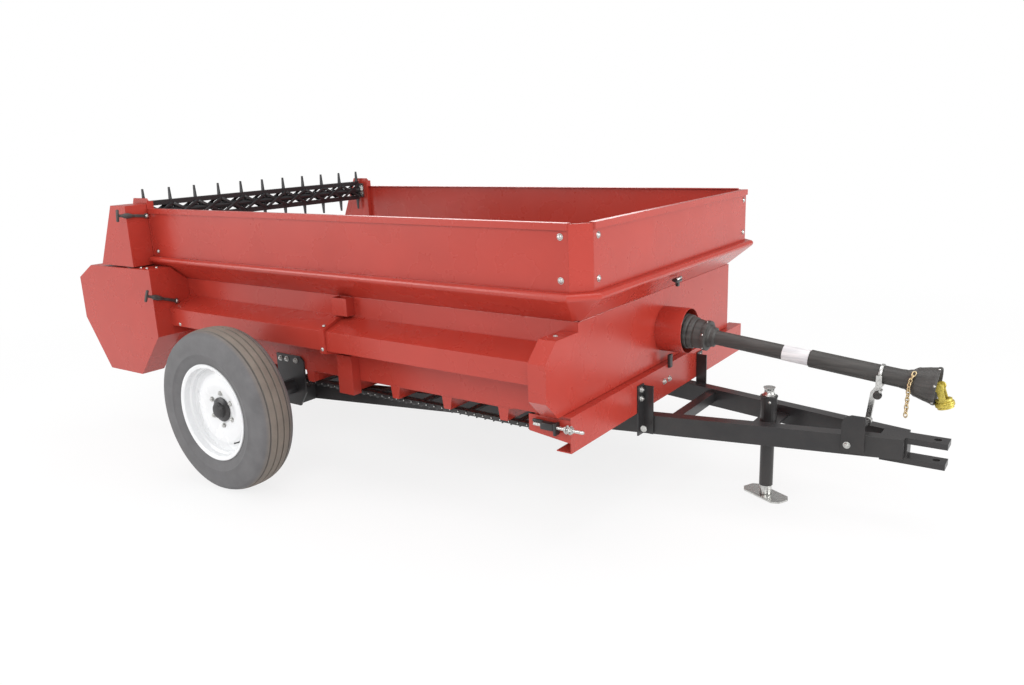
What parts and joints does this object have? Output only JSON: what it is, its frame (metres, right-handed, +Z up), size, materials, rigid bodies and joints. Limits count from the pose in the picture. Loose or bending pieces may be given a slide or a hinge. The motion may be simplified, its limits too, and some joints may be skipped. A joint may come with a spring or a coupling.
{
  "type": "manure spreader",
  "caption": "Towed manure spreader with a flared load bed, apron chain floor, rear beaters, side-drive guards, A-shaped tongue, screw jack and telescoping drive shaft.",
  "frame": {"origin": "middle of the bounding box, on the ground", "axes": "+X forward towards the hitch, +Y to the machine's left, +Z up"},
  "size_m": [3.9662, 2.265, 1.231],
  "materials": {
    "red_paint": "satin red paint on folded sheet steel",
    "black_paint": "semi-gloss black paint",
    "white_paint": "gloss white wheel paint",
    "tyre_rubber": "dusty ribbed implement tyre",
    "zinc": "zinc plated steel",
    "black_plastic": "moulded guard plastic",
    "yellow_paint": "yellow passivated steel",
    "floor_board": "treated floor boards",
    "bare_steel": "bare steel chain"
  },
  "bodies": {
    "chassis": {"apron_drive_cover": "red_paint", "apron_lower": "bare_steel", "apron_shaft_front": "bare_steel", "apron_shaft_rear": "bare_steel", "apron_upper": "bare_steel", "axle": "black_paint", "chain_tensioner": "zinc", "corner_plate_left": "red_paint", "corner_plate_right": "red_paint", "end_plate_left": "red_paint", "end_plate_right": "red_paint", "flare_front": "red_paint", "flare_side_left": "red_paint", "flare_side_right": "red_paint", "floor": "floor_board", "floor_frame": "red_paint", "front_channel": "red_paint", "front_cover": "red_paint", "front_wall": "red_paint", "gearbox": "black_paint", "hitch_bracket_left": "black_paint", "hitch_bracket_right": "black_paint", "hitch_clevis": "black_paint", "jack_body": "black_paint", "jack_cap": "zinc", "ledge": "red_paint", "lower_bearing_left": "zinc", "lower_bearing_right": "zinc", "lower_guard": "red_paint", "post_left": "red_paint", "post_right": "red_paint", "pto_shroud": "red_paint", "rear_crossmember": "red_paint", "rest_bracket": "black_paint", "shield_front": "red_paint", "shield_rear": "red_paint", "side_corner_plate": "red_paint", "side_wall_left": "red_paint", "side_wall_right": "red_paint", "tongue_beam_left": "black_paint", "tongue_beam_right": "black_paint", "tongue_brace": "black_paint", "upper_bearing_left": "zinc", "upper_bearing_right": "zinc", "upper_guard": "red_paint"},
    "wheel_right": {"tyre_right": "tyre_rubber", "rim_right": "white_paint", "hub_right": "black_paint"},
    "wheel_left": {"tyre_left": "tyre_rubber", "rim_left": "white_paint", "hub_left": "black_paint"},
    "beater_upper_rotor": {"beater_upper": "black_paint"},
    "beater_lower_rotor": {"beater_lower": "black_paint"},
    "pto_rear_half": {"pto_inner_shaft": "black_plastic"},
    "pto_front_half": {"pto_outer_shaft": "black_plastic"},
    "pto_coupler": {"pto_yoke": "yellow_paint"},
    "shaft_rest": {"pto_rest_arm": "zinc"},
    "jack_stand": {"jack_leg": "black_paint", "jack_foot": "zinc"}
  },
  "joints": [
    {"name": "wheel_right_spin", "type": "hinge", "parent": "chassis", "child": "wheel_right", "pos_m": [-0.62509, -1.045, 0.34892], "axis": [0, 1, 0], "continuous": true},
    {"name": "wheel_left_spin", "type": "hinge", "parent": "chassis", "child": "wheel_left", "pos_m": [-0.62509, 1.045, 0.34892], "axis": [0, 1, 0], "continuous": true},
    {"name": "beater_lower_spin", "type": "hinge", "parent": "chassis", "child": "beater_lower_rotor", "pos_m": [-1.70009, 0, 0.686], "axis": [0, 1, 0], "continuous": true},
    {"name": "beater_upper_spin", "type": "hinge", "parent": "chassis", "child": "beater_upper_rotor", "pos_m": [-1.56009, 0, 1.116], "axis": [0, 1, 0], "continuous": true},
    {"name": "pto_shaft_lift", "type": "hinge", "parent": "chassis", "child": "pto_rear_half", "pos_m": [0.95491, 0, 0.63412], "axis": [0, -1, 0], "range_deg": [0, 15]},
    {"name": "pto_telescope", "type": "slide", "parent": "pto_rear_half", "child": "pto_front_half", "axis": [0.9944, 0, -0.1054], "range_m": [0, 0.2]},
    {"name": "pto_coupler_spin", "type": "hinge", "parent": "pto_front_half", "child": "pto_coupler", "pos_m": [1.93191, 0, 0.53056], "axis": [0.9944, 0, -0.1054], "continuous": true},
    {"name": "shaft_rest_fold", "type": "hinge", "parent": "chassis", "child": "shaft_rest", "pos_m": [1.69691, 0, 0.371], "axis": [0, 1, 0], "range_deg": [0, 50]},
    {"name": "jack_raise", "type": "slide", "parent": "chassis", "child": "jack_stand", "axis": [0, 0, 1], "range_m": [0, 0.09]}
  ],
  "couplings": [
    {"joint": "beater_upper_spin", "follows": "beater_lower_spin", "ratio": 1}
  ]
}
